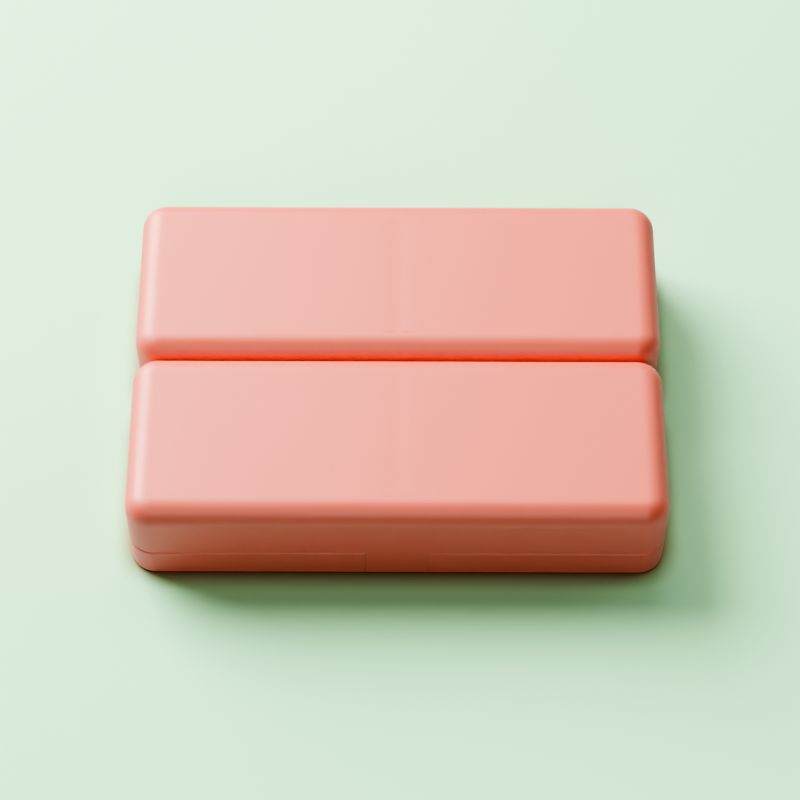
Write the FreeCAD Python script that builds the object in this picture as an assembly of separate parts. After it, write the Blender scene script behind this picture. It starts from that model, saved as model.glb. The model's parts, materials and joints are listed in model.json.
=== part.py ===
import FreeCAD, Part
import os
from math import hypot, sqrt

# Folding pocket pill case with a built-in pill splitter.
# X runs along the bars, +Y towards the rear bar, +Z up. The case lies flat on its lids, and the
# origin is the centre of the hinge line on the plane that the lids lie on.
# u is the distance from a bar's inner wall, the wall beside the hinge. All lengths are in mm.
# Every piece of a bar is drawn on the rear bar's right half and mirrored to its own place.

# Outer form
case_length = 105.0
bar_width = 37.5
case_height = 22.0
bar_gap = 0.3
plan_radius = 5.0
back_fillet = 4.2
base_fillet = 0.8
wall = 1.8
back_wall = 1.8
divider_thickness = 2.4

# Seam between shell and lids
seam_height = 8.0
seam_gap = 0.15
shell_seam_round = 0.3
lid_seam_round = 0.45

# Fold hinge: two pivots joined by links
fold_pin_radius = 0.75
knuckle_wall = 1.15
knuckle_lift = 0.1
folded_gap = 0.3
link_length = 20.0
link_offset = 24.0
link_gap = 0.3
fold_pin_inset = 4.5

# Lid hinge
lid_pin_radius = 0.6
barrel_wall = 1.0
barrel_lift = 0.15
cheek_boss_wall = 1.6
lid_gap = 0.2
lid_plate = 1.6

# Fits
press_clearance = 0.02
running_clearance = 0.05
body_clearance = 0.3

# Magnets in the middle of each outer wall
magnet_radius = 3.0
magnet_thickness = 2.5
magnet_clearance = 0.05
cap_thickness = 0.8
pod_length = 12.4
pod_outer_wall = 1.0
pod_inner_wall = 0.9
pod_roof = 1.1
notch_length = 5.0
notch_depth = 0.7
notch_height = 0.5

# Trays
tray_wall = 1.2
tray_floor = 1.2
tray_clearance = 0.25
tray_rim_clearance = 0.65
flange_thickness = 1.2
compartment_radius = 2.0
compartment_floor_round = 1.5
compartments_per_tray = 2

# Lid seals
gasket_width = 1.6
gasket_inset = 0.3
gasket_seat_depth = 0.4
gasket_gap = 0.2

# Splitter
blade_inset = 4.8
blade_swing_clearance = 1.5
blade_thickness = 0.4
blade_edge_thickness = 0.06
blade_bevel = 1.6
blade_overtravel = 1.0
holder_width = 7.0
holder_height = 3.4
holder_margin = 1.2
holder_seat_depth = 0.4
screw_radius = 0.7
screw_head_radius = 1.2
screw_head_height = 0.8
screw_spacing = 9.0
cradle_width = 22.0
cradle_drop = 1.4
cradle_fit = 0.1
pocket_depth = 6.2
mouth_width = 16.0
apex_margin = 2.2
jaw_round = 0.8
slot_width = 1.0
slot_depth_past_blade = 1.6

# Places worked out from the sizes above
half_length = case_length / 2
half_divider = divider_thickness / 2
half_pod = pod_length / 2
overshoot = 5.0
far = case_length
knuckle_radius = fold_pin_radius + knuckle_wall
fold_z = knuckle_radius + knuckle_lift
fold_u = fold_z + folded_gap / 2 - bar_gap / 2
barrel_radius = lid_pin_radius + barrel_wall
lid_z = barrel_radius + barrel_lift
lid_u = fold_u + knuckle_radius + body_clearance + lid_z
boss_radius = lid_pin_radius + cheek_boss_wall
lid_height = seam_height - seam_gap
fold_pin_half = half_length - fold_pin_inset
lid_pin_half = half_length - wall / 2
magnet_u = bar_width - pod_outer_wall - magnet_radius - magnet_clearance
pod_u = magnet_u - magnet_radius - magnet_clearance - pod_inner_wall
pod_top = seam_height + pod_roof
tray_x0 = half_divider + tray_clearance
tray_x1 = half_length - wall - tray_clearance
tray_u0 = lid_u + barrel_radius + lid_gap
tray_u1 = bar_width - wall - tray_clearance
tray_z0 = lid_z + barrel_radius + tray_rim_clearance
tray_z1 = case_height - back_wall
tray_corner = plan_radius - wall - tray_clearance
hollow_back_round = back_fillet - back_wall
flange_u0 = fold_u + knuckle_radius + body_clearance
holder_top = lid_plate + holder_height
cradle_z0 = tray_z0 + cradle_drop
pocket_z1 = cradle_z0 + pocket_depth
blade_z1 = pocket_z1 + blade_overtravel
slot_z1 = blade_z1 + slot_depth_past_blade
blade_x = (tray_x0 + tray_x1) / 2
blade_u0 = tray_u0 + tray_wall + blade_inset
tray_mouth_reach = hypot(tray_u1 - tray_wall - lid_u, tray_z0 - lid_z)
blade_tip_reach = tray_mouth_reach - blade_swing_clearance
blade_u1 = lid_u + sqrt(blade_tip_reach ** 2 - (blade_z1 - lid_z) ** 2)


def box(x0, x1, u0, u1, z0, z1):
    """A plain block given by its limits in x, u and z."""
    corner = FreeCAD.Vector(x0, bar_gap / 2 + u0, z0)
    return Part.makeBox(x1 - x0, u1 - u0, z1 - z0, corner)


def rod(radius, x0, x1, u, z):
    """A round bar along X."""
    start = FreeCAD.Vector(x0, bar_gap / 2 + u, z)
    return Part.makeCylinder(radius, x1 - x0, start, FreeCAD.Vector(1, 0, 0))


def disc(radius, x, u, z0, z1):
    """A round bar along Z."""
    start = FreeCAD.Vector(x, bar_gap / 2 + u, z0)
    return Part.makeCylinder(radius, z1 - z0, start, FreeCAD.Vector(0, 0, 1))


def upright_edges(shape):
    """The straight edges that run along Z."""
    found = []
    for edge in shape.Edges:
        span = edge.BoundBox
        if span.XLength < 1e-6 and span.YLength < 1e-6:
            found.append(edge)
    return found


def level_edges(shape, z):
    """The edges that lie in the level plane at height z."""
    found = []
    for edge in shape.Edges:
        span = edge.BoundBox
        if abs(span.ZMin - z) < 1e-6 and abs(span.ZMax - z) < 1e-6:
            found.append(edge)
    return found


def rounded_block(x0, x1, u0, u1, z0, z1, radius):
    """A block whose four upright edges are rounded."""
    block = box(x0, x1, u0, u1, z0, z1)
    return block.makeFillet(radius, upright_edges(block))


def bar_form(z0, z1, low_round, high_round):
    """The outer form of one bar between two heights, with rounded level edges."""
    form = rounded_block(-half_length, half_length, 0, bar_width, z0, z1, plan_radius)
    form = form.makeFillet(low_round, level_edges(form, z0))
    return form.makeFillet(high_round, level_edges(form, z1))


def both_sides(shape):
    """A right-hand piece joined with its left-hand mirror image."""
    return shape.fuse(to_left(shape))


def to_left(shape):
    return shape.mirror(FreeCAD.Vector(0, 0, 0), FreeCAD.Vector(1, 0, 0))


def to_front(shape):
    return shape.mirror(FreeCAD.Vector(0, 0, 0), FreeCAD.Vector(0, 1, 0))


def save(name, shape):
    """Write one node, and say what it is."""
    tidy = shape.removeSplitter()
    solids = tidy.Solids
    result = solids[0] if len(solids) == 1 else Part.makeCompound(solids)
    result.exportStep("parts/" + name + ".step")
    print(name, "solids", len(solids), "valid", result.isValid(), "volume", round(result.Volume, 2))


def fixed_zone():
    """Where the shell reaches down past the seam: spine, magnet pod, hinge wall and end cheeks."""
    spine = box(-half_divider, half_divider, 0, bar_width, -overshoot, seam_height + wall)
    pod = box(-half_pod, half_pod, pod_u, bar_width + overshoot, -overshoot, pod_top)
    hinge_side = box(-far, far, -overshoot, lid_u, -overshoot, seam_height + wall)
    boss = both_sides(rod(boss_radius, half_length - wall, far, lid_u, lid_z))
    return spine.fuse([pod, hinge_side, boss])


def inner_corner_waste():
    """The inner lower corner outside the circle that it must turn in when the case folds."""
    corner = box(-far, far, -overshoot, fold_u, -overshoot, fold_z)
    return corner.cut(rod(fold_u, -far, far, fold_u, fold_z))


def bay_hollow():
    """The right-hand hollow of a shell, which leaves the magnet pod standing."""
    top = case_height - back_wall
    hollow = rounded_block(half_divider, half_length - wall, wall, bar_width - wall,
                           -overshoot, top, plan_radius - wall)
    hollow = hollow.makeFillet(hollow_back_round, level_edges(hollow, top))
    return hollow.cut(box(-half_pod, half_pod, pod_u, bar_width, -overshoot, pod_top))


def knuckles():
    """The shell's share of the fold hinge, solid along the bar until the links are cut out."""
    round_bar = rod(knuckle_radius, -half_length, half_length, fold_u, fold_z)
    return round_bar.common(bar_form(0, case_height, base_fillet, back_fillet))


def link_pocket():
    """Room for the right-hand link, over its whole swing."""
    x0 = link_offset - link_length / 2 - link_gap
    x1 = link_offset + link_length / 2 + link_gap
    reach = knuckle_radius + link_gap
    return box(x0, x1, -overshoot, fold_u + reach, -overshoot, fold_z + reach)


def shell_pin_holes():
    """Holes for the fold pin and the lid pin, blind on the left and open on the right."""
    fold = rod(fold_pin_radius + press_clearance, -fold_pin_half - press_clearance, far, fold_u, fold_z)
    lid = rod(lid_pin_radius + press_clearance, -lid_pin_half - press_clearance, far, lid_u, lid_z)
    return fold.fuse(lid)


def magnet_pocket():
    depth = cap_thickness + magnet_thickness
    return disc(magnet_radius + magnet_clearance, 0, magnet_u, -overshoot, depth + magnet_clearance)


def pry_notch():
    """A shallow notch in the pod's lower outer edge, for a fingernail."""
    edge = bar_width - notch_depth
    return box(-notch_length / 2, notch_length / 2, edge, bar_width + overshoot, -overshoot, notch_height)


def shell():
    """One casing: smooth back, walls down to the seam, and what reaches down to the base."""
    upper = bar_form(seam_height, case_height, shell_seam_round, back_fillet)
    lower = bar_form(0, case_height, base_fillet, back_fillet).common(fixed_zone())
    outside = upper.fuse(lower).cut(inner_corner_waste())
    body = outside.cut(both_sides(bay_hollow())).fuse(knuckles())
    body = body.cut(both_sides(link_pocket()))
    return body.cut([shell_pin_holes(), magnet_pocket(), pry_notch()])


def fold_link():
    """The right-hand link: a flat bar with round ends, bored for both fold pins."""
    x0 = link_offset - link_length / 2
    x1 = link_offset + link_length / 2
    rear_end = rod(knuckle_radius, x0, x1, fold_u, fold_z)
    pivot_y = bar_gap / 2 + fold_u
    corner = FreeCAD.Vector(x0, -pivot_y, fold_z - knuckle_radius)
    middle = Part.makeBox(link_length, 2 * pivot_y, 2 * knuckle_radius, corner)
    body = middle.fuse([rear_end, to_front(rear_end)])
    bore = rod(fold_pin_radius + running_clearance, x0 - overshoot, x1 + overshoot, fold_u, fold_z)
    return body.cut([bore, to_front(bore)])


def pod_clearance(inset):
    """The block that trays, seals and lids leave free round the magnet pod."""
    return box(-far, half_pod + inset, pod_u - inset, far, -overshoot, case_height)


def lid():
    """A right-hand lid: plate, outer rim and end rim, with the hinge barrel along its inner edge."""
    form = bar_form(0, lid_height, base_fillet, lid_seam_round)
    zone = box(half_divider + lid_gap, far, lid_u, far, -overshoot, case_height)
    cheek_side = half_length - wall - lid_gap
    cheek = box(cheek_side, far, 0, lid_u + lid_gap, -overshoot, case_height)
    boss = rod(boss_radius + lid_gap, cheek_side, far, lid_u, lid_z)
    heel = box(cheek_side, far, 0, lid_u + boss_radius + lid_gap, -overshoot, lid_z)
    inside = rounded_block(-far, half_length - wall, -far, bar_width - wall,
                           lid_plate, case_height, plan_radius - wall)
    plate = form.common(zone).cut([cheek, boss, heel, inside, pod_clearance(lid_gap)])
    barrel = rod(barrel_radius, half_divider + lid_gap, cheek_side, lid_u, lid_z)
    bore = rod(lid_pin_radius + running_clearance, 0, half_length, lid_u, lid_z)
    return plate.fuse(barrel).cut(bore)


def tray_block(inset, z0, z1):
    """The plan of a right-hand tray drawn in by an inset, between two heights."""
    radius = tray_corner - inset
    return rounded_block(tray_x0 + inset, tray_x1 - inset, tray_u0 + inset, tray_u1 - inset, z0, z1, radius)


def compartments(count):
    """The hollows of a tray, side by side along X."""
    pitch = (tray_x1 - tray_x0 - tray_wall) / count
    top = tray_z1 - tray_floor
    hollows = []
    for index in range(count):
        x0 = tray_x0 + tray_wall + index * pitch
        hollow = rounded_block(x0, x0 + pitch - tray_wall, tray_u0 + tray_wall, tray_u1 - tray_wall,
                               -overshoot, top, compartment_radius)
        hollow = hollow.makeFillet(compartment_floor_round, level_edges(hollow, top))
        hollows.append(hollow.cut(pod_clearance(tray_clearance + tray_wall)))
    return hollows


def tray(count):
    """An inner tray that opens downwards, with a flange that covers the lid's barrel."""
    block = tray_block(0, tray_z0, tray_z1)
    block = block.makeFillet(hollow_back_round, level_edges(block, tray_z1))
    flange = box(tray_x0, tray_x1 - tray_corner, flange_u0, tray_u0 + tray_wall,
                 tray_z0, tray_z0 + flange_thickness)
    return block.fuse(flange).cut([pod_clearance(tray_clearance)] + compartments(count))


def gasket():
    """A ring of soft seal under the tray's rim, seated in the lid's plate."""
    z0 = lid_plate - gasket_seat_depth
    z1 = tray_z0 - gasket_gap
    outer = tray_block(gasket_inset, z0, z1).cut(pod_clearance(tray_clearance + gasket_inset))
    edge = gasket_inset + gasket_width
    inner = tray_block(edge, z0 - overshoot, z1 + overshoot).cut(pod_clearance(tray_clearance + edge))
    return outer.cut(inner)


def holder_block(z0, z1):
    """The block of the blade holder between two heights."""
    return box(blade_x - holder_width / 2, blade_x + holder_width / 2,
               blade_u0 - holder_margin, blade_u1 + holder_margin, z0, z1)


def screw_places():
    """Where the two clamping screws cross the blade, as (u, z) pairs."""
    middle = (blade_u0 + blade_u1) / 2
    z = lid_plate + holder_height / 2
    return [(middle - screw_spacing / 2, z), (middle + screw_spacing / 2, z)]


def blade():
    """A flat blade, bevelled on both sides towards its upper edge, with two screw holes."""
    z0 = lid_plate
    shoulder = blade_z1 - blade_bevel
    half = blade_thickness / 2
    half_edge = blade_edge_thickness / 2
    outline = [(-half, z0), (half, z0), (half, shoulder), (half_edge, blade_z1),
               (-half_edge, blade_z1), (-half, shoulder), (-half, z0)]
    corners = []
    for dx, z in outline:
        corners.append(FreeCAD.Vector(blade_x + dx, bar_gap / 2 + blade_u0, z))
    body = Part.Face(Part.makePolygon(corners)).extrude(FreeCAD.Vector(0, blade_u1 - blade_u0, 0))
    for u, z in screw_places():
        body = body.cut(rod(screw_radius + press_clearance, 0, half_length, u, z))
    return body


def blade_holder():
    """The clamp that holds the blade on the lid, slit for the blade and bored for the screws."""
    body = holder_block(lid_plate - holder_seat_depth, holder_top)
    half_slit = blade_thickness / 2 + press_clearance
    slit = box(blade_x - half_slit, blade_x + half_slit, blade_u0 - press_clearance,
               blade_u1 + press_clearance, lid_plate, case_height)
    body = body.cut(slit)
    tip = blade_x + holder_width / 2 - holder_margin
    for u, z in screw_places():
        body = body.cut(rod(screw_radius + press_clearance, 0, tip, u, z))
    return body


def blade_screws():
    """Two cheese-head screws along X through the holder and the blade."""
    side = blade_x - holder_width / 2
    tip = blade_x + holder_width / 2 - holder_margin - press_clearance
    screws = []
    for u, z in screw_places():
        shank = rod(screw_radius, side, tip, u, z)
        head = rod(screw_head_radius, side - screw_head_height, side, u, z)
        screws.append(shank.fuse(head).removeSplitter())
    return Part.makeCompound(screws)


def cradle_limits():
    """The cradle's plan: low x, high x, low u and high u."""
    half = cradle_width / 2
    inset = tray_wall + cradle_fit
    return blade_x - half, blade_x + half, tray_u0 + inset, tray_u1 - inset


def cradle_base():
    """The block that the pill lies on, with a slot that the blade drops into."""
    x0, x1, u0, u1 = cradle_limits()
    top = tray_z1 - tray_floor
    body = rounded_block(x0, x1, u0, u1, pocket_z1, top, compartment_radius)
    body = body.makeFillet(compartment_floor_round, level_edges(body, top))
    slot = box(blade_x - slot_width / 2, blade_x + slot_width / 2, 0, far, -overshoot, slot_z1)
    return body.cut(slot)


def right_jaw():
    """The grip on the right of the pill. The two jaws make a V that closes away from the hinge."""
    x0, x1, u0, u1 = cradle_limits()
    slot_side = blade_x + slot_width / 2
    mouth_side = blade_x + mouth_width / 2
    outline = [(slot_side, u1), (x1, u1), (x1, u0), (mouth_side, u0), (slot_side, u1 - apex_margin)]
    corners = []
    for x, u in outline + outline[:1]:
        corners.append(FreeCAD.Vector(x, bar_gap / 2 + u, cradle_z0))
    body = Part.Face(Part.makePolygon(corners)).extrude(FreeCAD.Vector(0, 0, pocket_depth))
    return body.makeFillet(jaw_round, upright_edges(body))


def left_jaw():
    return right_jaw().mirror(FreeCAD.Vector(blade_x, 0, 0), FreeCAD.Vector(1, 0, 0))


def storage_lid():
    return lid().cut(gasket())


def splitter_lid():
    return lid().cut(holder_block(lid_plate - holder_seat_depth, holder_top))


def save_case(side, place):
    """The pieces that each bar has one of."""
    save(side + "_shell", place(shell()))
    save(side + "_fold_pin", place(rod(fold_pin_radius, -fold_pin_half, fold_pin_half, fold_u, fold_z)))
    save(side + "_lid_pin", place(rod(lid_pin_radius, -lid_pin_half, lid_pin_half, lid_u, lid_z)))
    save(side + "_magnet_cap", place(disc(magnet_radius, 0, magnet_u, 0, cap_thickness)))
    top = cap_thickness + magnet_thickness
    save(side + "_magnet", place(disc(magnet_radius, 0, magnet_u, cap_thickness, top)))


def save_storage_bay(name, place):
    """A storage bay's lid, seal and tray."""
    save(name + "_lid", place(storage_lid()))
    save(name + "_gasket", place(gasket()))
    save(name + "_tray", place(tray(compartments_per_tray)))


def save_splitter_bay():
    """The right-hand bay of the front bar."""
    save("splitter_lid", to_front(splitter_lid()))
    save("splitter_tray", to_front(tray(1)))
    save("splitter_blade", to_front(blade()))
    save("blade_holder", to_front(blade_holder()))
    save("blade_screws", to_front(blade_screws()))
    save("cradle_base", to_front(cradle_base()))
    save("right_pill_jaw", to_front(right_jaw()))
    save("left_pill_jaw", to_front(left_jaw()))


def stay(shape):
    return shape


def to_front_left(shape):
    return to_front(to_left(shape))


os.makedirs("parts", exist_ok=True)
save_case("rear", stay)
save_case("front", to_front)
save("right_fold_link", fold_link())
save("left_fold_link", to_left(fold_link()))
save_storage_bay("rear_right", stay)
save_storage_bay("rear_left", to_left)
save_storage_bay("front_left", to_front_left)
save_splitter_bay()
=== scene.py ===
# %% [markdown]
# # A folding pill case with a built-in pill splitter
#
# Two bars lie side by side, their smooth backs up and their lids underneath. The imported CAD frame
# already holds every piece at its real size, so this script gives each piece its finish, replaces
# the ones that want softer or finer shapes, and sets up the studio.

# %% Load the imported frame
import json
import math

import bmesh
import bpy
import numpy as np
from mathutils import Matrix, Vector
from mathutils.geometry import delaunay_2d_cdt

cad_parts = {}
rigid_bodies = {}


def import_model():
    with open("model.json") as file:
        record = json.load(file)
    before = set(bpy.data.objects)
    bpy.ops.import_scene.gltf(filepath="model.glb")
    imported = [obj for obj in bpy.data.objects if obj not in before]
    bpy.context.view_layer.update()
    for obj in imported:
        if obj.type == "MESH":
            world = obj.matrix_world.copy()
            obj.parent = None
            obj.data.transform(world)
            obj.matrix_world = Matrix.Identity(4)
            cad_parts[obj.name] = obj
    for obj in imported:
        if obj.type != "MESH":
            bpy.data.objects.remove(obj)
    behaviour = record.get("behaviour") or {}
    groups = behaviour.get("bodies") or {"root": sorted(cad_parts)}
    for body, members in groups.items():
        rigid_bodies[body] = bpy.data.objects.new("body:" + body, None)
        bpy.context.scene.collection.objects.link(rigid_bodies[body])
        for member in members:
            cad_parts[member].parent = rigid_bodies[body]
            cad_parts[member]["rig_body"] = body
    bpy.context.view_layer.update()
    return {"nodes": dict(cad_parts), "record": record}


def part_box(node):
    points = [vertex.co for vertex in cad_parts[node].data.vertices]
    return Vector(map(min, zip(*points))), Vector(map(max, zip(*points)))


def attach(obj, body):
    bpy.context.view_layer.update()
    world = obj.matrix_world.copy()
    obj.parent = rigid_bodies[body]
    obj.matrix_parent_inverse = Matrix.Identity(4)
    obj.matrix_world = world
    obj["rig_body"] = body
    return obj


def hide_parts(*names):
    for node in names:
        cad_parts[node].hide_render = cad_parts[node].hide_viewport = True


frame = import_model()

MM = 0.001
nodes = frame["nodes"]

# %% [markdown]
# ## The studio
#
# The camera looks down on the case from the front, at 58 degrees above the table, with a long lens
# so that the sides hardly converge. The table top is a plain pale green sheet.

# %% Camera
ELEVATION = math.radians(57.949)
TURN = math.radians(-0.025)
ROLL = math.radians(0.201)
DISTANCE = 536.9 * MM
AIM = Vector((0.471, 2.737, 0)) * MM
LENS, SENSOR_WIDTH = 117.46, 36.0
NEAREST = 0.01


def camera_matrix(elevation, turn, roll, aim, distance):
    """The camera stands at aim plus distance times its backward direction. That direction is the
    front (-Y), turned about Z and raised by the elevation; roll turns the picture about it."""
    back = Vector((math.sin(turn) * math.cos(elevation), -math.cos(turn) * math.cos(elevation),
                   math.sin(elevation)))
    right = Vector((0, 0, 1)).cross(back).normalized()
    up = back.cross(right)
    rolled_right = math.cos(roll) * right + math.sin(roll) * up
    rolled_up = math.cos(roll) * up - math.sin(roll) * right
    rotation = Matrix((rolled_right, rolled_up, back)).transposed().to_4x4()
    return Matrix.Translation(aim + distance * back) @ rotation


camera_data = bpy.data.cameras.new("camera")
camera_data.lens = LENS
camera_data.sensor_width = SENSOR_WIDTH
camera_data.clip_start = NEAREST
camera = bpy.data.objects.new("camera", camera_data)
bpy.context.scene.collection.objects.link(camera)
camera.matrix_world = camera_matrix(ELEVATION, TURN, ROLL, AIM, DISTANCE)
bpy.context.scene.camera = camera
print("camera stands at", [round(v / MM, 1) for v in camera.location], "mm")

# %% [markdown]
# ## Light
#
# A large soft lamp from the rear left throws the shadows to the front and right. A wider one behind
# it lays a broad sheen on the backs, two weak ones keep the shaded walls readable, and a small one
# below and behind shows the lids' undersides without touching the front edge. The room itself gives
# no light, and is only seen past the table's edge. The high contrast view lets the lit plastic go
# pale while the shaded plastic stays a deep coral.

# %% Lamps and view
ROOM_COLOUR = (0.62, 0.74, 0.63)
# name: direction from the case, distance in metres, diameter in metres, watts
LAMPS = {
    "key": ((-0.79, 0.75, 0.80), 1.0, 0.80, 19.8),
    "behind": ((0, 0.53, 0.85), 1.5, 0.90, 5.0),
    "right": ((0.90, 0.50, 0.80), 1.5, 1.00, 3.2),
    "front": ((0, -1, 0.88), 1.5, 0.90, 5.5),
    "below": ((0, 0.80, -1), 2.0, 0.15, 13.0),
}


def soft_lamp(name, direction, distance, size, watts):
    """A disc lamp at distance along direction from the case, facing it."""
    data = bpy.data.lights.new(name, "AREA")
    data.shape = "DISK"
    data.size = size
    data.energy = watts
    lamp = bpy.data.objects.new(name, data)
    bpy.context.scene.collection.objects.link(lamp)
    toward = Vector(direction).normalized()
    lamp.location = distance * toward
    lamp.rotation_euler = toward.to_track_quat("Z", "Y").to_euler()
    return lamp


for name, settings in LAMPS.items():
    soft_lamp(name, *settings)
bpy.context.scene.view_settings.view_transform = "AgX"
bpy.context.scene.view_settings.look = "AgX - Very High Contrast"
world = bpy.data.worlds.new("pale_room")
world.use_nodes = True
room = world.node_tree
backdrop = room.nodes["Background"]
backdrop.inputs["Color"].default_value = (*ROOM_COLOUR, 1)
room_seen = room.nodes.new("ShaderNodeLightPath").outputs["Is Camera Ray"]
room.links.new(room_seen, backdrop.inputs["Strength"])
bpy.context.scene.world = world
print(len(LAMPS), "lamps")

# %% [markdown]
# ## Shared surface effects
#
# Several finishes show the same things at different strengths: the fine satin that a spark-eroded
# mould leaves, slow mottling of the colour, worn edges, dust that settles in corners, and the fine
# lines of turned or ground metal. Each is one node group with named inputs, so that a finish only
# chooses its values.


# %% Helpers for node trees
def add(tree, kind, **values):
    """A node of that kind, with its input values set by name (spaces written as underscores)."""
    made = tree.nodes.new(kind)
    for name, value in values.items():
        made.inputs[name.replace("_", " ")].default_value = value
    return made


def join(tree, source, target):
    tree.links.new(source, target)
    return target


def start_group(name, inputs, outputs):
    """An empty node group with float inputs (name: default), a Vector input and float outputs."""
    tree = bpy.data.node_groups.new(name, "ShaderNodeTree")
    tree.interface.new_socket("Vector", in_out="INPUT", socket_type="NodeSocketVector")
    for label, default in inputs.items():
        socket = tree.interface.new_socket(label, in_out="INPUT", socket_type="NodeSocketFloat")
        socket.default_value = default
    for label in outputs:
        tree.interface.new_socket(label, in_out="OUTPUT", socket_type="NodeSocketFloat")
    return tree, tree.nodes.new("NodeGroupInput"), tree.nodes.new("NodeGroupOutput")


def math_node(tree, operation, first, second):
    """A Math node whose two inputs are sockets or plain numbers."""
    made = tree.nodes.new("ShaderNodeMath")
    made.operation = operation
    for index, value in enumerate((first, second)):
        if isinstance(value, bpy.types.NodeSocket):
            join(tree, value, made.inputs[index])
        else:
            made.inputs[index].default_value = value
    return made.outputs[0]


def rescaled(tree, value, low, high):
    """A value spread so that low becomes 0 and high becomes 1, and held there beyond them."""
    spread = add(tree, "ShaderNodeMapRange", From_Min=low, From_Max=high)
    join(tree, value, spread.inputs["Value"])
    return spread.outputs[0]


def group_noise(tree, given, scale, detail, roughness):
    """Noise over a group's vector, at the scale that the group's input of that name gives."""
    made = add(tree, "ShaderNodeTexNoise", Detail=detail, Roughness=roughness)
    join(tree, given.outputs["Vector"], made.inputs["Vector"])
    join(tree, given.outputs[scale], made.inputs["Scale"])
    return made.outputs[0]


# %% [markdown]
# ### Moulded satin
#
# Injection moulds are given a fine even texture so that fingerprints show less. It is two layers of
# noise: grains of about a third of a millimetre, and slow clouds of some centimetres where the melt
# flowed and cooled unevenly. Noise was chosen over cells because worn moulds have no sharp grains.


# %% The moulded satin group
def moulded_satin_group():
    """Height is fine grain noise; Mottle is slow noise, stretched to 0-1."""
    tree, given, result = start_group(
        "moulded_satin", {"Grain": 3000.0, "Cloud": 60.0}, ["Height", "Mottle"])
    cloud = group_noise(tree, given, "Cloud", 2.0, 0.45)
    join(tree, group_noise(tree, given, "Grain", 3.0, 0.6), result.inputs["Height"])
    join(tree, rescaled(tree, cloud, 0.3, 0.7), result.inputs["Mottle"])
    return tree


groups = {"satin": moulded_satin_group()}
print("first node group:", groups["satin"].name)

# %% [markdown]
# ### Wear, dust and tool marks
#
# Handling rubs the sharp outer edges of a case, and dust stays in its inner corners. Cycles knows
# both from how much the surface bends at a point, so one kind of group makes a mask from a range of
# bends, broken up by noise. Turned and ground metal shows fine lines along the tool's path: that is
# plain noise, on coordinates that each metal stretches in its own direction.


# %% Wear, dust and line groups
def bend_mask_group(name, scale, default_scale, bend_range, detail, roughness, noise_range):
    """Mask is how far the surface's pointiness lies within bend_range, times noise spread over
    noise_range, times Amount. Pointiness is above 0.5 on convex edges and below it in hollows."""
    tree, given, result = start_group(name, {scale: default_scale, "Amount": 0.5}, ["Mask"])
    pointiness = tree.nodes.new("ShaderNodeNewGeometry").outputs["Pointiness"]
    bend = rescaled(tree, pointiness, *bend_range)
    broken = rescaled(tree, group_noise(tree, given, scale, detail, roughness), *noise_range)
    mask = math_node(tree, "MULTIPLY", bend, broken)
    join(tree, math_node(tree, "MULTIPLY", mask, given.outputs["Amount"]), result.inputs["Mask"])
    return tree


def fine_lines_group():
    """Lines is noise read on coordinates already stretched along the tool's path."""
    tree, given, result = start_group("fine_lines", {"Density": 1.0}, ["Lines"])
    join(tree, group_noise(tree, given, "Density", 4.0, 0.7), result.inputs["Lines"])
    return tree


groups["wear"] = bend_mask_group(
    "edge_wear", "Patch", 250.0, (0.52, 0.62), 4.0, 0.65, (0.4, 0.65))
groups["dust"] = bend_mask_group(
    "corner_dust", "Speck", 900.0, (0.48, 0.40), 5.0, 0.7, (0.35, 0.7))
groups["lines"] = fine_lines_group()
print("node groups:", sorted(g.name for g in groups.values()))


# %% Helpers for finishes
def new_finish(name, **uniform):
    """A material with its uniform values set straight on the Principled sockets."""
    material = bpy.data.materials.new(name)
    material.use_nodes = True
    tree = material.node_tree
    shader = tree.nodes["Principled BSDF"]
    for label, value in uniform.items():
        shader.inputs[label.replace("_", " ")].default_value = value
    place = tree.nodes.new("ShaderNodeTexCoord").outputs["Object"]
    return material, tree, shader, place


def use_group(tree, key, place, **values):
    """One of the shared groups, fed with a vector and its own values."""
    made = tree.nodes.new("ShaderNodeGroup")
    made.node_tree = groups[key]
    join(tree, place, made.inputs["Vector"])
    for label, value in values.items():
        made.inputs[label].default_value = value
    return made.outputs


def blended(tree, factor, first, second):
    """A colour mixed from two, each a socket or a plain colour, by a factor socket."""
    mix = tree.nodes.new("ShaderNodeMix")
    mix.data_type = "RGBA"
    join(tree, factor, mix.inputs["Factor"])
    for label, value in (("A", first), ("B", second)):
        socket = [s for s in mix.inputs if s.name == label and s.type == "RGBA"][0]
        if isinstance(value, bpy.types.NodeSocket):
            join(tree, value, socket)
        else:
            socket.default_value = (*value, 1)
    return [s for s in mix.outputs if s.type == "RGBA"][0]


def ranged(tree, value, low, high):
    """A 0-1 socket spread between two values."""
    spread = add(tree, "ShaderNodeMapRange", To_Min=low, To_Max=high)
    join(tree, value, spread.inputs["Value"])
    return spread.outputs[0]


def bumped(tree, shader, height, depth, strength):
    """The height, in metres when multiplied by depth, bends the shader's normal."""
    bump = add(tree, "ShaderNodeBump", Strength=strength, Distance=depth)
    join(tree, height, bump.inputs["Height"])
    join(tree, bump.outputs["Normal"], shader.inputs["Normal"])


def stretched(tree, place, scale):
    """Coordinates scaled differently along each axis, so that noise draws out into lines."""
    mapping = add(tree, "ShaderNodeMapping", Scale=scale)
    join(tree, place, mapping.inputs["Vector"])
    return mapping.outputs["Vector"]


# %% [markdown]
# ## Plastic and rubber finishes
#
# Every plastic piece is the same kind of surface: a colour that drifts a little, rubbed paler and
# smoother on its edges, with a trace of dust in its corners. One function builds them all, and each
# finish gives its own colours and gloss. The casing's gloss comes from a thin smooth skin over a
# soft, slightly translucent body, so it gets a coat and a little subsurface scattering.


# %% Moulded finishes
DUST_TONE = (0.62, 0.56, 0.50)


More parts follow.
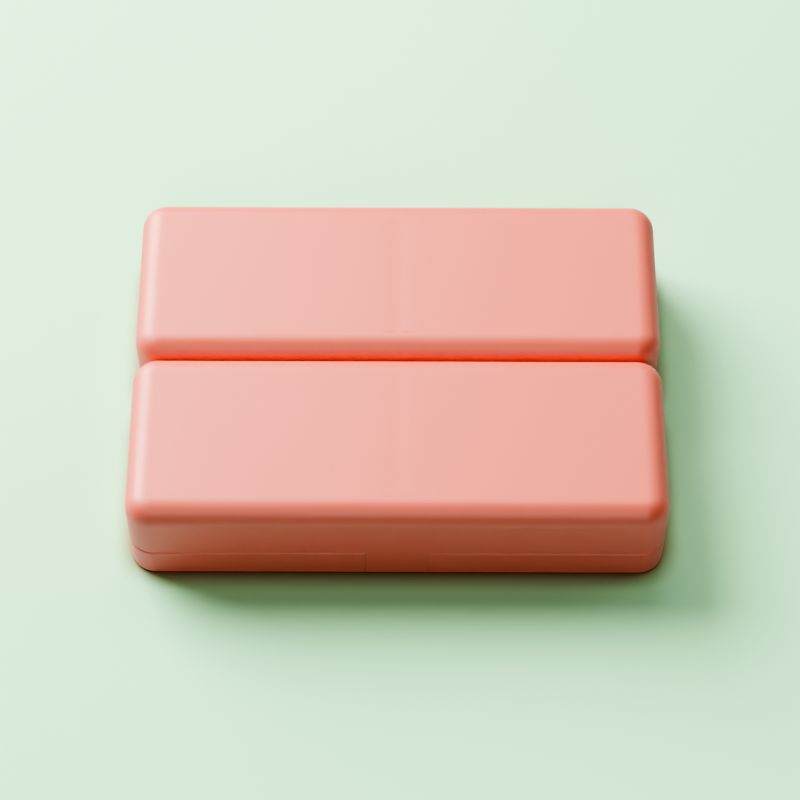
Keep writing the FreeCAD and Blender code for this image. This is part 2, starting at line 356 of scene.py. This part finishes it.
def moulded_finish(name, colour, drift, worn, gloss_range, grain=3000.0, grain_depth=0.00002,
                   dust=0.3, wear=0.25, **uniform):
    """Colour drifts by the mottle, goes to worn on edges and to pale dust in corners.
    Roughness follows the mottle between the two gloss values."""
    material, tree, shader, place = new_finish(name, **uniform)
    satin = use_group(tree, "satin", place, Grain=grain, Cloud=55.0)
    rubbed = use_group(tree, "wear", place, Patch=300.0, Amount=wear)["Mask"]
    settled = use_group(tree, "dust", place, Speck=1200.0, Amount=dust)["Mask"]
    tone = blended(tree, satin["Mottle"], colour, drift)
    tone = blended(tree, rubbed, tone, worn)
    tone = blended(tree, settled, tone, DUST_TONE)
    join(tree, tone, shader.inputs["Base Color"])
    join(tree, ranged(tree, satin["Mottle"], *gloss_range), shader.inputs["Roughness"])
    bumped(tree, shader, satin["Height"], grain_depth, 0.35)
    return material


finishes = {
    "shell_plastic": moulded_finish(
        "coral_shell_plastic", (0.850, 0.170, 0.100), (0.844, 0.175, 0.104), (0.88, 0.26, 0.18),
        (0.47, 0.53), Specular_IOR_Level=0.8, Coat_Weight=0.5, Coat_Roughness=0.55,
        Subsurface_Weight=0.08, Subsurface_Radius=(1.0, 0.3, 0.2), Subsurface_Scale=0.0015),
    "tray_plastic": moulded_finish(
        "ivory_tray_plastic", (0.80, 0.70, 0.60), (0.78, 0.67, 0.57), (0.86, 0.80, 0.73),
        (0.34, 0.44), grain=2200.0, dust=0.35, Subsurface_Weight=0.15,
        Subsurface_Radius=(1.0, 0.6, 0.4), Subsurface_Scale=0.001),
    "link_plastic": moulded_finish(
        "coral_link_plastic", (0.80, 0.16, 0.085), (0.78, 0.17, 0.09), (0.86, 0.28, 0.19),
        (0.28, 0.40), grain=4200.0, dust=0.4, wear=0.4),
    "seal_rubber": moulded_finish(
        "silicone_seal_rubber", (0.66, 0.63, 0.60), (0.62, 0.59, 0.56), (0.72, 0.70, 0.67),
        (0.42, 0.58), grain=1500.0, dust=0.5, wear=0.1, Subsurface_Weight=0.3,
        Subsurface_Radius=(1.0, 0.9, 0.8), Subsurface_Scale=0.001, Sheen_Weight=0.2),
    "cradle_rubber": moulded_finish(
        "grey_grip_rubber", (0.085, 0.090, 0.095), (0.070, 0.074, 0.080), (0.16, 0.165, 0.17),
        (0.55, 0.70), grain=1800.0, grain_depth=0.00004, dust=0.6, Sheen_Weight=0.3),
}
print("moulded finishes:", sorted(finishes))

# %% [markdown]
# ## Metal finishes
#
# The pins and screws are turned, so their marks run round them: noise stretched across X, the axis
# that they all lie along. The blade is ground across its edge, so its marks run up the blade and
# the bevel is brighter. The magnets are nickel plated, with small stains and rubbed rims.


# %% Metals
RUBBED_METAL = (0.86, 0.85, 0.83)


def metal_finish(name, colour, stain, line_scale, gloss_range, wear=0.4, **uniform):
    """A metal whose colour goes to stain in slow clouds. Its roughness and height follow lines."""
    material, tree, shader, place = new_finish(name, Metallic=1.0, **uniform)
    clouds = use_group(tree, "satin", place, Grain=5000.0, Cloud=260.0)["Mottle"]
    lines = use_group(tree, "lines", stretched(tree, place, line_scale), Density=1.0)["Lines"]
    rubbed = use_group(tree, "wear", place, Patch=900.0, Amount=wear)["Mask"]
    tone = blended(tree, clouds, colour, stain)
    tone = blended(tree, rubbed, tone, RUBBED_METAL)
    join(tree, tone, shader.inputs["Base Color"])
    join(tree, ranged(tree, lines, *gloss_range), shader.inputs["Roughness"])
    bumped(tree, shader, lines, 0.000012, 0.5)
    return material


finishes["pin_steel"] = metal_finish(
    "turned_pin_steel", (0.60, 0.59, 0.57), (0.48, 0.47, 0.46), (9000, 120, 120), (0.22, 0.42))
finishes["blade_steel"] = metal_finish(
    "ground_blade_steel", (0.66, 0.66, 0.67), (0.58, 0.58, 0.60), (200, 7000, 160), (0.16, 0.34))
finishes["magnet_plating"] = metal_finish(
    "nickel_magnet_plating", (0.72, 0.68, 0.62), (0.62, 0.58, 0.52), (700, 700, 700), (0.14, 0.30))
print("all finishes:", sorted(finishes))

# %% Give every CAD node the finish of its slot
node_slots = {part["node"]: part["material_slot"] for part in frame["record"]["subparts"]}
for name, cad_node in nodes.items():
    cad_node.data.materials.clear()
    cad_node.data.materials.append(finishes[node_slots[name]])
print(len(node_slots), "nodes in", len(set(node_slots.values())), "finishes")

# %% [markdown]
# ## Making pieces
#
# Every new piece is a surface worked out with numpy, or a copy of its CAD node's mesh, put straight
# into a mesh in the frame's own coordinates, so its object stays at the origin. It then rides on
# its body, takes the finish of its material slot and stands in for its CAD node.

# %% Helpers for pieces
SHARP_ANGLE = math.radians(35)
WELD = 1e-6
node_bodies = {name: cad_node["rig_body"] for name, cad_node in nodes.items()}


def make_piece(name, mesh, node):
    """An object for the mesh that replaces the node, with the node's body, slot and finish."""
    if mesh.has_custom_normals:
        mesh.attributes.remove(mesh.attributes["custom_normal"])
    mesh.polygons.foreach_set("use_smooth", np.ones(len(mesh.polygons), bool))
    mesh.set_sharp_from_angle(angle=SHARP_ANGLE)
    mesh.materials.clear()
    mesh.materials.append(finishes[node_slots[node]])
    piece = bpy.data.objects.new(name, mesh)
    bpy.context.scene.collection.objects.link(piece)
    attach(piece, node_bodies[node])
    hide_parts(node)
    return piece


def welded_mesh(name, parts):
    """One mesh of several (points, faces) parts. Doubled points at seams and poles are merged."""
    whole = bmesh.new()
    for points, faces in parts:
        part = bpy.data.meshes.new("part")
        part.from_pydata(points.tolist(), [], faces if isinstance(faces, list) else faces.tolist())
        whole.from_mesh(part)
        bpy.data.meshes.remove(part)
    bmesh.ops.remove_doubles(whole, verts=whole.verts, dist=WELD)
    mesh = bpy.data.meshes.new(name)
    whole.to_mesh(mesh)
    whole.free()
    return mesh


def grid_faces(rows, columns, wrap):
    """Quads of a grid of rows by columns. With wrap, the last column joins the first."""
    row, column = np.meshgrid(np.arange(rows - 1), np.arange(columns if wrap else columns - 1),
                              indexing="ij")
    after = (column + 1) % columns
    quads = [row * columns + column, row * columns + after,
             (row + 1) * columns + after, (row + 1) * columns + column]
    return np.stack(quads, axis=-1).reshape(-1, 4)


def even_shading(piece):
    """Large flat faces keep their own normals, and only the small faces of a rounding blend."""
    weighted = piece.modifiers.new("even_shading", "WEIGHTED_NORMAL")
    weighted.mode = "FACE_AREA"
    weighted.keep_sharp = True
    return piece


def welded_copy(node):
    """A CAD node's triangles, copied, with their doubled points merged."""
    copy = bmesh.new()
    copy.from_mesh(nodes[node].data)
    bmesh.ops.remove_doubles(copy, verts=copy.verts, dist=WELD)
    return copy


# %% [markdown]
# ## The casings
#
# The back of each bar is one smooth moulded face. Behind its middle stands the spine that parts the
# two bays, and as the thick plastic there cooled it drew the face in: a sink mark, a shallow valley
# across the bar. Everything else about the casing is already right in the frame, so its mesh is
# copied and only the flat of the back is cut out and laid again as a fine grid that follows the
# valley. A grid is used, and not bump, because the valley catches the light as a real form.

# %% The sink valley
VALLEY_DEPTH = {"rear": 0.055 * MM, "front": 0.030 * MM}
VALLEY_SPREAD = 2.0 * MM
VALLEY_FADE = 2.0 * MM
BACK_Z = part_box("rear_shell")[1].z


def sink_valley(x, y, low_y, high_y, depth):
    """Height of the back: a bell-shaped valley along x = 0, depth times exp(-(x / spread)^2),
    that fades out smoothly towards the two long edges."""
    edge = np.clip(np.minimum(y - low_y, high_y - y) / VALLEY_FADE, 0, 1)
    fade = edge * edge * (3 - 2 * edge)
    return BACK_Z - depth * np.exp(-(x / VALLEY_SPREAD) ** 2) * fade


print("valleys", {side: round(depth / MM, 3) for side, depth in VALLEY_DEPTH.items()}, "mm deep")

# %% Casing backs on a fine grid
GRID_INSET = 0.5 * MM
GRID_COLUMNS, GRID_ROWS = 131, 33
EVEN_SHARE = 0.35
FACES_UP = 0.999
KEEP_INSIDE, SAME_POINT = 1, 1e-9


def back_grid(low, high):
    """Points inside the flat: x runs as share * t + (1 - share) * t^3, so they lie close together
    at the valley, and y runs evenly."""
    t = np.linspace(-1, 1, GRID_COLUMNS)
    x = (high[0] - GRID_INSET) * (EVEN_SHARE * t + (1 - EVEN_SHARE) * t ** 3)
    y = np.linspace(low[1] + GRID_INSET, high[1] - GRID_INSET, GRID_ROWS)
    return np.stack(np.meshgrid(x, y), axis=-1).reshape(-1, 2)


def relaid_back(casing, depth):
    """Cut out the flat back, and return the grid that fills it exactly to its edge."""
    flat = [f for f in casing.faces
            if f.normal.z > FACES_UP and min(v.co.z for v in f.verts) > BACK_Z - WELD]
    bmesh.ops.delete(casing, geom=flat, context="FACES")
    rim_edges = [e for e in casing.edges if e.is_boundary]
    rim = list(dict.fromkeys(v for e in rim_edges for v in e.verts))
    place = {v: i for i, v in enumerate(rim)}
    rim_points = np.array([v.co.xy for v in rim])
    low, high = rim_points.min(axis=0), rim_points.max(axis=0)
    points = np.concatenate([rim_points, back_grid(low, high)])
    borders = [(place[e.verts[0]], place[e.verts[1]]) for e in rim_edges]
    laid = delaunay_2d_cdt([Vector(p) for p in points], borders, [], KEEP_INSIDE, SAME_POINT)
    flat_points, faces = laid[0], laid[2]
    flat_points = np.array([tuple(p) for p in flat_points])
    z = sink_valley(flat_points[:, 0], flat_points[:, 1], low[1], high[1], depth)
    return np.column_stack([flat_points, z]), faces


def casing_piece(side):
    node = side + "_shell"
    casing = welded_copy(node)
    points, faces = relaid_back(casing, VALLEY_DEPTH[side])
    back = bpy.data.meshes.new("back")
    back.from_pydata(points.tolist(), [], faces)
    casing.from_mesh(back)
    bmesh.ops.remove_doubles(casing, verts=casing.verts, dist=WELD)
    open_edges = sum(e.is_boundary for e in casing.edges)
    mesh = bpy.data.meshes.new(side + "_casing")
    casing.to_mesh(mesh)
    casing.free()
    print(side, "casing:", len(mesh.polygons), "faces,", open_edges, "open edges")
    return even_shading(make_piece(side + "_casing", mesh, node))


for side in ("rear", "front"):
    casing_piece(side)

# %% [markdown]
# ## Trays, links and the splitter's blocks
#
# These come out of their moulds with every edge slightly rounded, and it is this thin rounding that
# draws a bright line along each rim. Their shapes are right in the frame, so each is a merged copy
# whose sharp edges get a small bevel.

# %% Softened copies
BEVEL_ANGLE, BEVEL_SEGMENTS = math.radians(50), 3
SAME_PLANE = math.radians(0.5)
SOFTENED = {
    "tray": (0.20, ["rear_right_tray", "rear_left_tray", "front_left_tray", "splitter_tray"]),
    "link": (0.25, ["right_fold_link", "left_fold_link"]),
    "block": (0.20, ["blade_holder", "cradle_base"]),
}


def whole_faces(copy, name):
    """The mesh of a merged copy whose flat faces are made whole again from their triangles."""
    bmesh.ops.dissolve_limit(copy, angle_limit=SAME_PLANE, verts=copy.verts, edges=copy.edges)
    mesh = bpy.data.meshes.new(name)
    copy.to_mesh(mesh)
    copy.free()
    return mesh


def softened_piece(node, width):
    """A merged copy of the node with its sharp edges bevelled."""
    name = "moulded_" + node
    piece = make_piece(name, whole_faces(welded_copy(node), name), node)
    bevel = piece.modifiers.new("rounded_edges", "BEVEL")
    bevel.width = width * MM
    bevel.segments = BEVEL_SEGMENTS
    bevel.limit_method = "ANGLE"
    bevel.angle_limit = BEVEL_ANGLE
    return even_shading(piece)


for kind, (width, names) in SOFTENED.items():
    for node in names:
        softened_piece(node, width)
    print(len(names), kind, "pieces with edges rounded by", width, "mm")

# %% [markdown]
# ## The lids
#
# Each lid steps round the magnet's housing in the middle of the outer wall. Its side there slides
# straight along the housing as the lid swings, so the moulder can make that slit far narrower than
# the seam above, and from outside it all but disappears. The copy's side face is drawn up to the
# housing until only a hair's width is left.

# %% Lids with a close side
SLIT_NOW, SLIT_WANTED = 0.20 * MM, 0.04 * MM
HOUSING_SIDE = 6.2 * MM
ON_PLANE = 0.01 * MM


def lid_piece(node):
    """Points on the plane beside the housing move towards it by the difference of the slits."""
    copy = welded_copy(node)
    plane = HOUSING_SIDE + SLIT_NOW
    for corner in copy.verts:
        if abs(abs(corner.co.x) - plane) < ON_PLANE:
            corner.co.x -= math.copysign(SLIT_NOW - SLIT_WANTED, corner.co.x)
    name = "moulded_" + node
    return even_shading(make_piece(name, whole_faces(copy, name), node))


for node in ("rear_right_lid", "rear_left_lid", "front_left_lid", "splitter_lid"):
    lid_piece(node)
print("4 lids, slit", round(SLIT_WANTED / MM, 2), "mm beside the housing")

# %% [markdown]
# ## Pins, magnets and screws
#
# All of these are turned on a lathe, so each is a profile spun round an axis. Their ends are
# chamfered, which is how a pin finds its hole and what makes a coin-shaped magnet look like one.
# The screws have a hexagonal socket: near the axis the ring's radius follows a hexagon.


# %% Spun profiles
STEPS = 48


def spun(profile, centre, axis, hexagon_from=None):
    """Each profile point (along, radius) in mm goes round the axis: centre + along * axis +
    radius * (cos t, sin t) across it. From hexagon_from on, the radius follows a hexagon:
    radius / cos(angle from the nearest flat's middle)."""
    profile = np.asarray(profile, float) * MM
    turn = np.linspace(0, 2 * np.pi, STEPS, endpoint=False)
    radius = np.repeat(profile[:, 1:2], STEPS, axis=1)
    if hexagon_from is not None:
        sixth = np.pi / 3
        radius[hexagon_from:] /= np.cos((turn + sixth / 2) % sixth - sixth / 2)
    along = np.asarray(axis, float)
    first = np.roll(along, 1)
    second = np.cross(along, first)
    across = (np.cos(turn)[:, None] * first + np.sin(turn)[:, None] * second)
    points = (np.asarray(centre) + profile[:, :1, None] * along + radius[..., None] * across)
    return points.reshape(-1, 3), grid_faces(len(profile), STEPS, wrap=True)


def chamfered(start, end, radius, chamfer):
    """The profile of a round bar from start to end whose ends are chamfered."""
    return [(start, 0), (start, radius - chamfer), (start + chamfer, radius),
            (end - chamfer, radius), (end, radius - chamfer), (end, 0)]


X_AXIS, Z_AXIS = (1, 0, 0), (0, 0, 1)
print("a round bar has", len(spun(chamfered(0, 1, 1, 0.1), (0, 0, 0), X_AXIS)[1]), "faces")

# %% Pins, magnets and caps
CHAMFERS = {"fold_pin": 0.20, "lid_pin": 0.15, "magnet": 0.30, "magnet_cap": 0.12}
LONG = 10  # mm


def spun_piece(node, chamfer):
    """The node's own box gives its axis, ends and radius. A pin is LONG or more in X and lies
    along it; a magnet or its cap is a disc, and its axis is Z."""
    low, high = (np.array(corner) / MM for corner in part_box(node))
    size = high - low
    axis = X_AXIS if size[0] > LONG else Z_AXIS
    along = axis.index(1)
    centre = (low + high) / 2 * MM
    half = size[along] / 2
    profile = chamfered(-half, half, size[1] / 2, chamfer)
    mesh = welded_mesh("turned_" + node, [spun(profile, centre, axis)])
    return make_piece("turned_" + node, mesh, node)


for side in ("rear", "front"):
    for part, chamfer in CHAMFERS.items():
        spun_piece(side + "_" + part, chamfer)
print(2 * len(CHAMFERS), "turned pieces")

# %% Clamping screws
SCREW_RADIUS, HEAD_RADIUS, HEAD_HEIGHT = 0.7, 1.2, 0.8
SCREW_SPACING = 9.0
TIP_CHAMFER, HEAD_CHAMFER = 0.2, 0.15
SOCKET_FLAT, SOCKET_DEPTH = 0.55, 0.5
SOCKET_ROW = 7


def screw_profile(length):
    """From the tip up the shank and over the head, and from row SOCKET_ROW down the socket."""
    under, top = length - HEAD_HEIGHT, length
    return [(0, 0), (0, SCREW_RADIUS - TIP_CHAMFER), (TIP_CHAMFER, SCREW_RADIUS),
            (under, SCREW_RADIUS), (under, HEAD_RADIUS), (top - HEAD_CHAMFER, HEAD_RADIUS),
            (top, HEAD_RADIUS - HEAD_CHAMFER), (top, SOCKET_FLAT),
            (top - SOCKET_DEPTH, SOCKET_FLAT), (top - SOCKET_DEPTH, 0)]


def clamping_screws():
    """Two screws along X, their heads on the low side."""
    low, high = (np.array(corner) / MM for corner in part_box("blade_screws"))
    profile = screw_profile(high[0] - low[0])
    middle = (low + high) / 2
    parts = []
    for side in (-1, 1):
        tip = np.array([high[0], middle[1] + side * SCREW_SPACING / 2, middle[2]]) * MM
        points, faces = spun(profile, tip, (-1, 0, 0), hexagon_from=SOCKET_ROW)
        parts.append((points, faces))
    return make_piece("clamping_screws", welded_mesh("clamping_screws", parts), "blade_screws")


print("screws:", len(clamping_screws().data.polygons), "faces")

# %% [markdown]
# ## Lid seals
#
# A moulded silicone ring lies in a seat in each storage lid. Its section has two soft lips with a
# groove between them, so that it gives easily when the lid shuts. It is a profile carried round a
# closed path: the tray's outline with rounded corners, which steps in round the magnet's housing.


# %% Paths and carried profiles
def rounded_path(corners, radii, arc_steps=10):
    """Points round a polygon whose corners are arcs tangent to both sides. At each corner the arc
    starts radius * tan(half the turn) before it, and its centre is a radius to the inner side."""
    corners, radii = np.asarray(corners, float), np.asarray(radii, float)[:, None]
    before = corners - np.roll(corners, 1, axis=0)
    before /= np.linalg.norm(before, axis=1, keepdims=True)
    after = np.roll(before, -1, axis=0)
    sine = before[:, 0] * after[:, 1] - before[:, 1] * after[:, 0]
    turn = np.arctan2(sine, (before * after).sum(1))
    start = corners - before * radii * np.tan(np.abs(turn) / 2)[:, None]
    side = np.sign(turn)[:, None] * np.column_stack([-before[:, 1], before[:, 0]])
    centre = start + side * radii
    swept = np.linspace(0, 1, arc_steps)[None, :, None] * turn[:, None, None]
    spoke = (start - centre)[:, None, :]
    turned = np.cos(swept) * spoke + np.sin(swept) * spoke[..., ::-1] * np.array([-1, 1])
    return (centre[:, None, :] + turned).reshape(-1, 2)


def outward(path):
    """Unit normals to the right of a closed path, from the chord between a point's neighbours."""
    chord = np.roll(path, -1, axis=0) - np.roll(path, 1, axis=0)
    chord /= np.linalg.norm(chord, axis=1, keepdims=True)
    return np.column_stack([chord[:, 1], -chord[:, 0]])


def carried(path, profile):
    """The profile (out, height) carried round the path: path + out * outward normal, at height."""
    path, profile = np.asarray(path), np.asarray(profile)
    plan = path[None] + profile[:, :1, None] * outward(path)[None]
    height = np.broadcast_to(profile[:, 1:2, None], plan.shape[:2] + (1,))
    points = np.concatenate([plan, height], axis=-1).reshape(-1, 3) * MM
    return points, grid_faces(len(profile), len(path), wrap=True)


square = rounded_path([(0, 0), (4, 0), (4, 4), (0, 4)], [1] * 4)
print("a rounded square has", len(square), "points")

# %% Seals
SEAL_HALF_WIDTH, SEAL_LOW, SEAL_SHOULDER, SEAL_TOP = 0.8, 1.2, 3.0, 3.8
LIP_PLACE, LIP_HALF, LIP_STEPS = 0.42, 0.36, 41
HOUSING_STEP_X, HOUSING_STEP_Y = 5.0, 6.2
SEAL_CORNER, STEP_CORNER = 1.85, 0.9


def seal_profile():
    """A flat foot, straight sides, and on top two half-round lips: shoulder + rise * sqrt(1 - q^2),
    where q is the distance from the lip's middle over half its width."""
    out = SEAL_HALF_WIDTH * np.cos(np.linspace(0, np.pi, LIP_STEPS))
    q = np.clip((np.abs(out) - LIP_PLACE) / LIP_HALF, -1, 1)
    top = SEAL_SHOULDER + (SEAL_TOP - SEAL_SHOULDER) * np.sqrt(1 - q * q)
    foot = [(-SEAL_HALF_WIDTH, SEAL_LOW), (SEAL_HALF_WIDTH, SEAL_LOW),
            (SEAL_HALF_WIDTH, SEAL_SHOULDER)]
    return np.concatenate([np.column_stack([out, top]), foot])


def seal_piece(node):
    """The path runs through the middle of the rear right ring, and is mirrored from there."""
    low, high = (np.array(corner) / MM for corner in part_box(node))
    near_x, far_x = np.sort(np.abs([low[0], high[0]])) + [SEAL_HALF_WIDTH, -SEAL_HALF_WIDTH]
    near_y, far_y = np.sort(np.abs([low[1], high[1]])) + [SEAL_HALF_WIDTH, -SEAL_HALF_WIDTH]
    step_x, step_y = near_x + HOUSING_STEP_X, far_y - HOUSING_STEP_Y
    corners = [(near_x, near_y), (far_x, near_y), (far_x, far_y), (step_x, far_y), (step_x, step_y),
               (near_x, step_y)]
    path = rounded_path(corners, [SEAL_CORNER] * 3 + [STEP_CORNER] * 3)
    points, faces = carried(path, seal_profile())
    mirror = np.array([1 if high[0] > 0 else -1, 1 if high[1] > 0 else -1, 1])
    if mirror.prod() < 0:
        faces = faces[:, ::-1]
    last = len(seal_profile()) - 1
    count = len(path)
    columns = np.arange(count)
    closing = np.stack([last * count + columns, last * count + (columns + 1) % count,
                        (columns + 1) % count, columns], axis=-1)
    closing = closing if mirror.prod() > 0 else closing[:, ::-1]
    mesh = welded_mesh("lipped_" + node, [(points * mirror, np.concatenate([faces, closing]))])
    return make_piece("lipped_" + node, mesh, node)


for node in ("rear_right_gasket", "rear_left_gasket", "front_left_gasket"):
    seal = seal_piece(node)
print("3 seals of", len(seal.data.polygons), "faces")

# %% [markdown]
# ## The pill grips
#
# Two soft jaws make the V that centres a pill under the blade. Their slanting faces have upright
# grooves, so that a smooth pill can't turn as the blade comes down. Each jaw is an outline in plan
# whose slanting side is scalloped, carried up in rings with a small rounding at top and bottom.

# %% Grooves and rounded walls
GROOVE_PITCH, GROOVE_DEPTH = 1.7, 0.28
SAME_WAY = 0.9999


def evenly_spaced(path, spacing):
    """A closed path walked again in equal steps along its own length."""
    closed = np.concatenate([path, path[:1]])
    walked = np.concatenate([[0], np.cumsum(np.linalg.norm(np.diff(closed, axis=0), axis=1))])
    steps = np.linspace(0, walked[-1], int(walked[-1] / spacing), endpoint=False)
    return np.column_stack([np.interp(steps, walked, closed[:, k]) for k in (0, 1)])


def scalloped(path, face_normal):
    """The side that looks along face_normal is drawn in by depth * (1 - cos(2 pi n)) / 2, where n
    counts the grooves along it."""
    on_side = outward(path) @ face_normal > SAME_WAY
    tangent = np.array([-face_normal[1], face_normal[0]])
    along = path @ tangent
    first, last = along[on_side].min(), along[on_side].max()
    count = round((last - first) / GROOVE_PITCH)
    groove = (1 - np.cos(2 * np.pi * count * (along - first) / (last - first))) / 2
    return path - np.where(on_side, GROOVE_DEPTH * groove, 0)[:, None] * face_normal


def rounded_rings(low_z, high_z, radius, steps=6):
    """(out, height) rings up a wall whose lower and upper edges are quarter rounds."""
    t = np.linspace(0, np.pi / 2, steps)
    lower = np.column_stack([radius * (np.sin(t) - 1), low_z + radius * (1 - np.cos(t))])
    upper = np.column_stack([radius * (np.cos(t) - 1), high_z - radius * (1 - np.sin(t))])
    return np.concatenate([lower, upper])


print("a wall with rounded edges has", len(rounded_rings(0, 1, 0.2)), "rings")

# %% Grips
GRIP_ROUND, GRIP_CORNER = 0.4, 0.8
MOUTH_HALF, SLOT_HALF, APEX_MARGIN = 8.0, 0.5, 2.2
OUTLINE_STEP = 0.2


def grip_piece(node, mirror_x):
    low, high = (np.array(corner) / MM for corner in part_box("right_pill_jaw"))
    mouth_x = low[0] - SLOT_HALF + MOUTH_HALF
    apex_y = low[1] + APEX_MARGIN
    corners = [(low[0], low[1]), (high[0], low[1]), (high[0], high[1]), (mouth_x, high[1]),
               (low[0], apex_y)]
    path = evenly_spaced(rounded_path(corners, [GRIP_CORNER] * len(corners)), OUTLINE_STEP)
    slant = np.array([low[0] - mouth_x, apex_y - high[1]])
    slant /= np.linalg.norm(slant)
    path = scalloped(path, np.array([slant[1], -slant[0]]))
    rings = rounded_rings(low[2], high[2], GRIP_ROUND)
    points, faces = carried(path, rings)
    count, last = len(path), (len(rings) - 1) * len(path)
    faces = faces.tolist() + [list(range(count))[::-1], list(range(last, last + count))]
    if mirror_x:
        points[:, 0] = 2 * (low[0] - SLOT_HALF) * MM - points[:, 0]
        faces = [face[::-1] for face in faces]
    mesh = welded_mesh("grooved_" + node, [(points, faces)])
    return make_piece("grooved_" + node, mesh, node)


for node, mirror_x in (("right_pill_jaw", False), ("left_pill_jaw", True)):
    grip = grip_piece(node, mirror_x)
    print(node, len(grip.data.polygons), "faces")

# %% [markdown]
# ## The table top
#
# A single large sheet with the slightest tooth, like painted card, so that the shadows fall softly.
# It is seen in a fresher green than the light that it throws back, because the high contrast view
# drains pale colours. Where the case stands close over it, a painted contact shadow darkens it to a
# warm brown that only the camera sees. Far from the case it fades into the room. It lies a hair
# below the lids. From below it is clear, so that the lids can be looked at from under the table,
# and it casts no shadow, so that the lamp down there reaches them.

# %% Table sheet
TABLE_HALF = 3.0
TABLE_GAP = 0.02 * MM
table_mesh = bpy.data.meshes.new("table_top")
corners = np.array([(-1, -1, 0), (1, -1, 0), (1, 1, 0), (-1, 1, 0)]) * TABLE_HALF
corners[:, 2] = -TABLE_GAP
table_mesh.from_pydata(corners.tolist(), [], [(0, 1, 2, 3)])
table_top = bpy.data.objects.new("table_top", table_mesh)
bpy.context.scene.collection.objects.link(table_top)
print("table top", 2 * TABLE_HALF, "m square")

# %% Card finish
TABLE_COLOUR = (0.50, 0.98, 0.55)
BOUNCE_COLOUR = (0.44, 0.66, 0.58)
# painted contact shadow: the warm brown that the card is painted near the case, and how far it
# reaches
PAINTED_CONTACT_SHADOW = (0.26, 0.12, 0.05)
PAINTED_SHADOW_REACH = 5.0 * MM
CLOSED, OPEN = 0.45, 0.95
CARD_DRIFT, CARD_TOOTH = 1.015, 0.01 * MM
card, card_tree, card_shader, card_place = new_finish("pale_green_card", Specular_IOR_Level=0.2)
card_satin = use_group(card_tree, "satin", card_place, Grain=1200.0, Cloud=9.0)
fresher = [CARD_DRIFT * c for c in TABLE_COLOUR]
seen_tone = blended(card_tree, card_satin["Mottle"], TABLE_COLOUR, fresher)
# painted shadow: where ambient occlusion finds the case close, the card's colour goes to the dark
# brown
painted_shadow_occlusion = add(card_tree, "ShaderNodeAmbientOcclusion", Distance=PAINTED_SHADOW_REACH).outputs["AO"]
unshadowed_share = rescaled(card_tree, painted_shadow_occlusion, CLOSED, OPEN)
seen_tone = blended(card_tree, unshadowed_share, PAINTED_CONTACT_SHADOW, seen_tone)
ray = card_tree.nodes.new("ShaderNodeLightPath").outputs
card_tone = blended(card_tree, ray["Is Camera Ray"], BOUNCE_COLOUR, seen_tone)
join(card_tree, card_tone, card_shader.inputs["Base Color"])
card_gloss = ranged(card_tree, card_satin["Mottle"], 0.92, 0.98)
join(card_tree, card_gloss, card_shader.inputs["Roughness"])
bumped(card_tree, card_shader, card_satin["Height"], CARD_TOOTH, 0.2)
table_mesh.materials.append(card)
print("card finish:", card.name)

# %% Where the table is clear
FADE_FROM, FADE_TO = 0.35, 0.90
from_below = card_tree.nodes.new("ShaderNodeNewGeometry").outputs["Backfacing"]
clear = math_node(card_tree, "MAXIMUM", from_below, ray["Is Shadow Ray"])
radius = card_tree.nodes.new("ShaderNodeVectorMath")
radius.operation = "LENGTH"
join(card_tree, card_place, radius.inputs[0])
faded = rescaled(card_tree, radius.outputs["Value"], FADE_FROM, FADE_TO)
clear = math_node(card_tree, "MAXIMUM", clear, faded)
join(card_tree, math_node(card_tree, "SUBTRACT", 1.0, clear), card_shader.inputs["Alpha"])
print("the table fades out from", FADE_FROM, "to", FADE_TO, "m")
